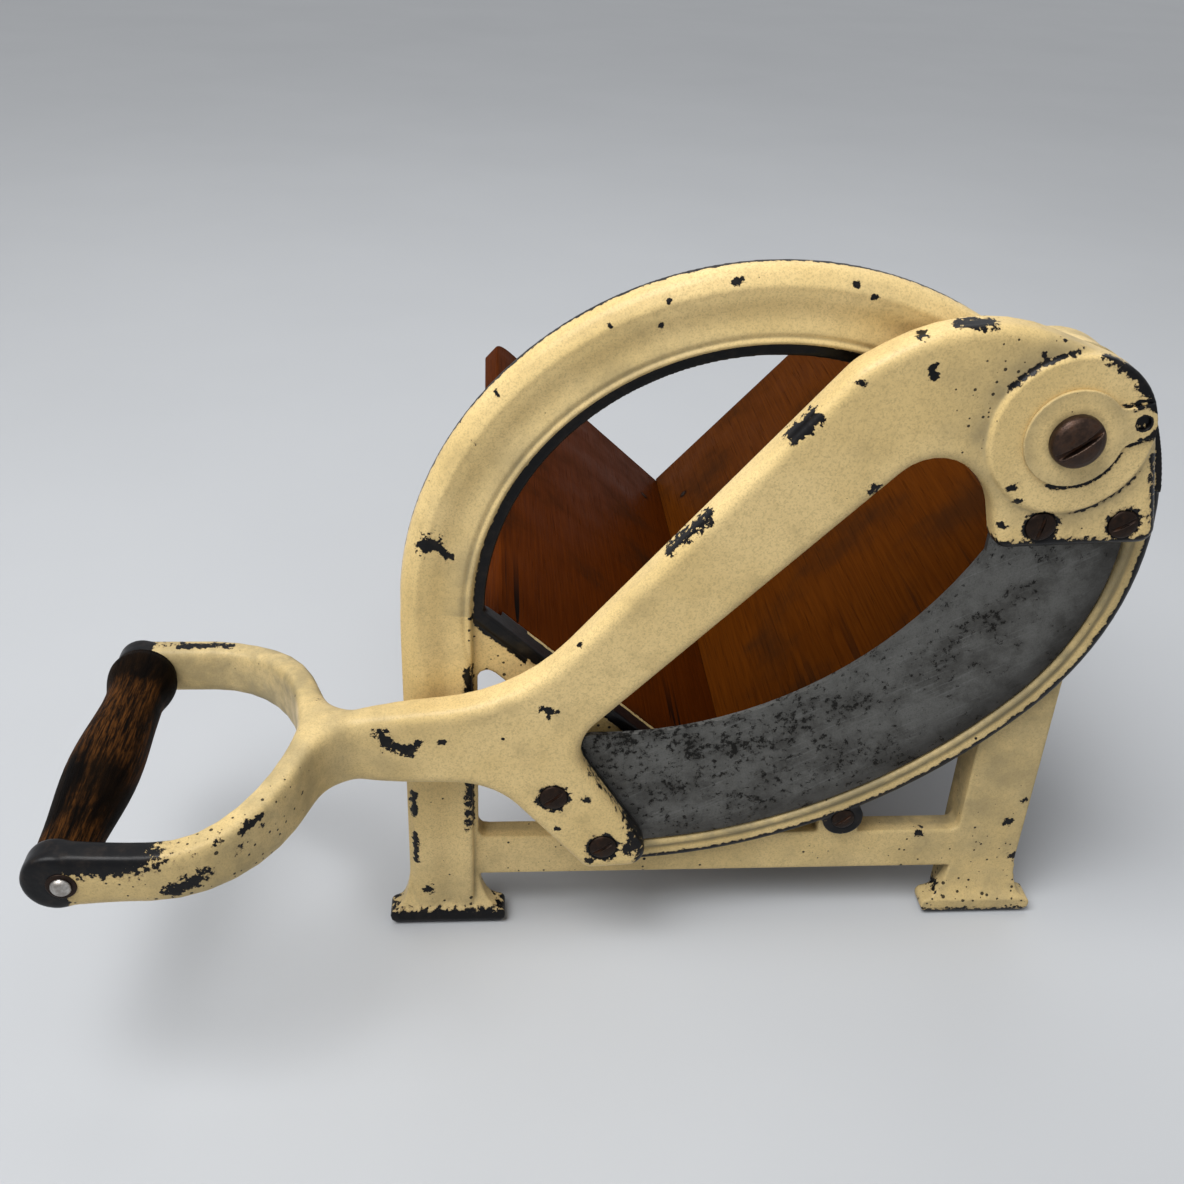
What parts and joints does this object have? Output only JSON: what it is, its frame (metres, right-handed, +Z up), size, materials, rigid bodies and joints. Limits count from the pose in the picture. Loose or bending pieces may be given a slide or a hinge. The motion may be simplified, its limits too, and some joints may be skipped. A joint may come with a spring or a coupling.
{
  "type": "guillotine bread slicer",
  "caption": "Hand bread slicer: cast frame with a V trough of boards and a sickle blade on a pivoted lever with a forked handle.",
  "frame": {"origin": "on the table under the middle of the object's box", "axes": "+Z up, +Y away from the user along the trough, +X to the user's right"},
  "size_m": [0.4211, 0.4163, 0.301],
  "materials": {
    "cream_enamel": "chipped cream enamel on cast iron",
    "board_wood": "worn oiled",
    "grip_wood": "dark worn",
    "blade_steel": "pitted and darkened",
    "bright_steel": "worn",
    "browned_steel": "browned with rust"
  },
  "bodies": {
    "frame": {"front_frame": "cream_enamel", "blade_guard": "cream_enamel", "guard_screw": "browned_steel", "left_board": "board_wood", "right_board": "board_wood", "rear_stand": "cream_enamel", "front_board_screws": "browned_steel", "board_nails": "browned_steel", "stand_screws": "browned_steel", "pivot_bolt": "browned_steel", "pivot_washer": "bright_steel", "pivot_nut": "bright_steel"},
    "lever": {"lever_arm": "cream_enamel", "lock_plate": "cream_enamel", "blade": "blade_steel", "leg_blade_screws": "browned_steel", "hub_blade_screws": "browned_steel", "grip_rod": "bright_steel", "grip_washers": "browned_steel"},
    "grip": {"wooden_grip": "grip_wood"}
  },
  "joints": [
    {"name": "lever_pivot", "type": "hinge", "parent": "frame", "child": "lever", "pos_m": [0.15928, -0.12325, 0.247], "axis": [0, 1, 0], "range_deg": [0, 80]},
    {"name": "grip_spin", "type": "hinge", "parent": "lever", "child": "grip", "pos_m": [-0.19672, -0.13305, 0.102], "axis": [0, 1, 0], "continuous": true}
  ]
}
